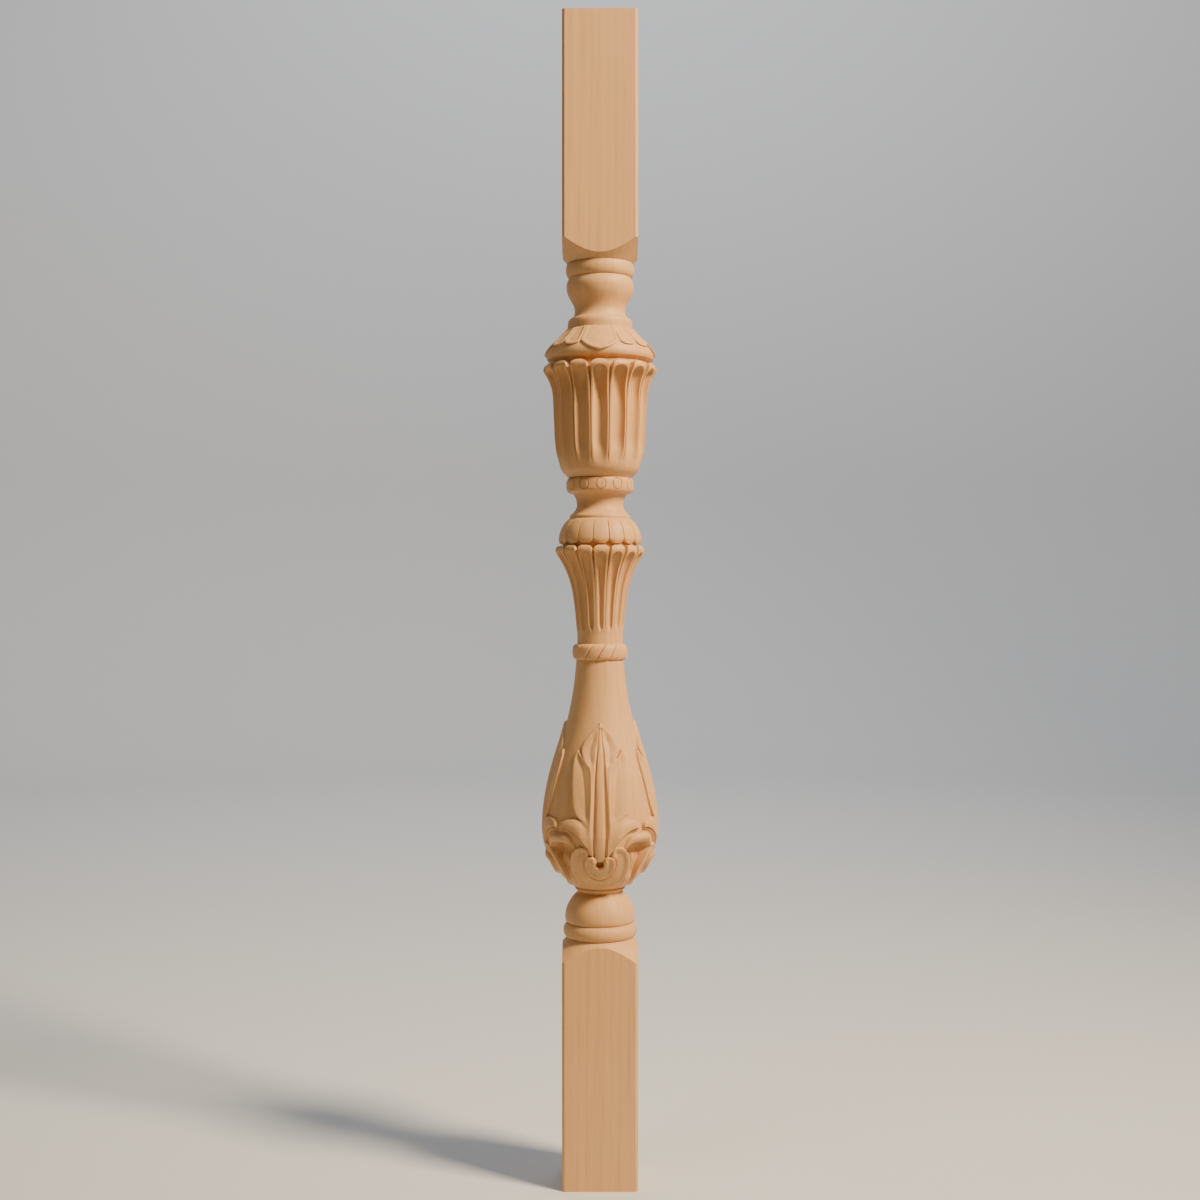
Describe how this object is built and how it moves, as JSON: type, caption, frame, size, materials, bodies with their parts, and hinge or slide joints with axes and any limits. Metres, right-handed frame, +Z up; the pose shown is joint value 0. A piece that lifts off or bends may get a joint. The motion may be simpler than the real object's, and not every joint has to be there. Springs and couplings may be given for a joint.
{
  "type": "carved wooden stair baluster",
  "caption": "Turned and carved timber baluster with square ends, a fluted cup, a fluted trumpet, a rope ring and a pear-shaped bulb wrapped in carved leaves.",
  "frame": {"origin": "middle of the square lower end, on the surface it stands on", "axes": "+Z up along the turning axis, +X and +Y square to the sides of the end blocks, a main leaf facing -Y"},
  "size_m": [0.091, 0.091, 0.9],
  "materials": {
    "wood": "pale unfinished hardwood, sanded smooth, with a faint grain along its length"
  },
  "bodies": {
    "root": {"baluster": "wood"}
  },
  "joints": []
}
